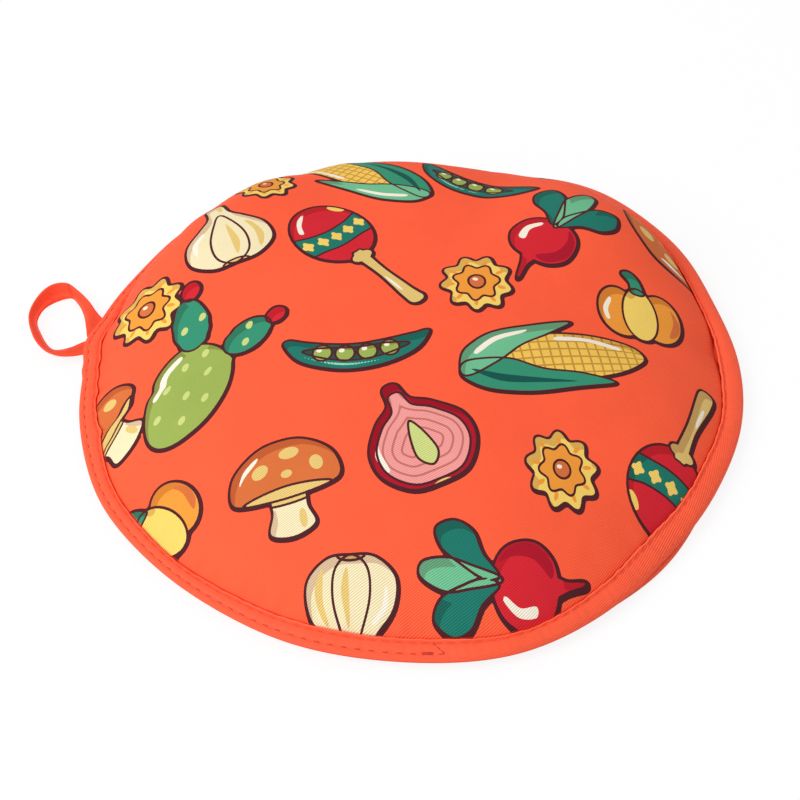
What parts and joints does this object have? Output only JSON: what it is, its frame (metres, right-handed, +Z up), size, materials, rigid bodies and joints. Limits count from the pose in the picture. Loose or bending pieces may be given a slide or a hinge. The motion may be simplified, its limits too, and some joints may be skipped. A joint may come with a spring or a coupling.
{
  "type": "tortilla warmer",
  "caption": "Round padded fabric pouch that keeps a stack of tortillas warm, with a wide mouth, bound edges and a hanging loop.",
  "frame": {"origin": "on the table under the middle of the round lower panel", "axes": "+X towards the middle of the mouth, +Z up, the hanging loop on the -X side"},
  "size_m": [0.3282, 0.3, 0.0499],
  "materials": {
    "printed_cover": "satin",
    "tape": "satin",
    "lining": "satin",
    "batting": "matte"
  },
  "bodies": {
    "pouch": {"lower_outer_cover": "printed_cover", "lower_batting": "batting", "lower_lining": "lining", "lower_binding": "tape", "upper_outer_cover_rear": "printed_cover", "upper_batting_rear": "batting", "upper_lining_rear": "lining", "upper_binding_rear": "tape", "hanging_loop_tails": "tape"},
    "mouth_flap": {"upper_outer_cover_flap": "printed_cover", "upper_batting_flap": "batting", "upper_lining_flap": "lining", "upper_binding_flap": "tape"},
    "loop": {"hanging_loop": "tape"}
  },
  "joints": [
    {"name": "mouth_open", "type": "hinge", "parent": "pouch", "child": "mouth_flap", "pos_m": [0.03882, 0, 0.0469], "axis": [0, -1, 0], "range_deg": [0, 40]},
    {"name": "loop_swing", "type": "hinge", "parent": "pouch", "child": "loop", "pos_m": [-0.1508, 0, 0.00365], "axis": [0, 1, 0], "range_deg": [0, 85]}
  ]
}
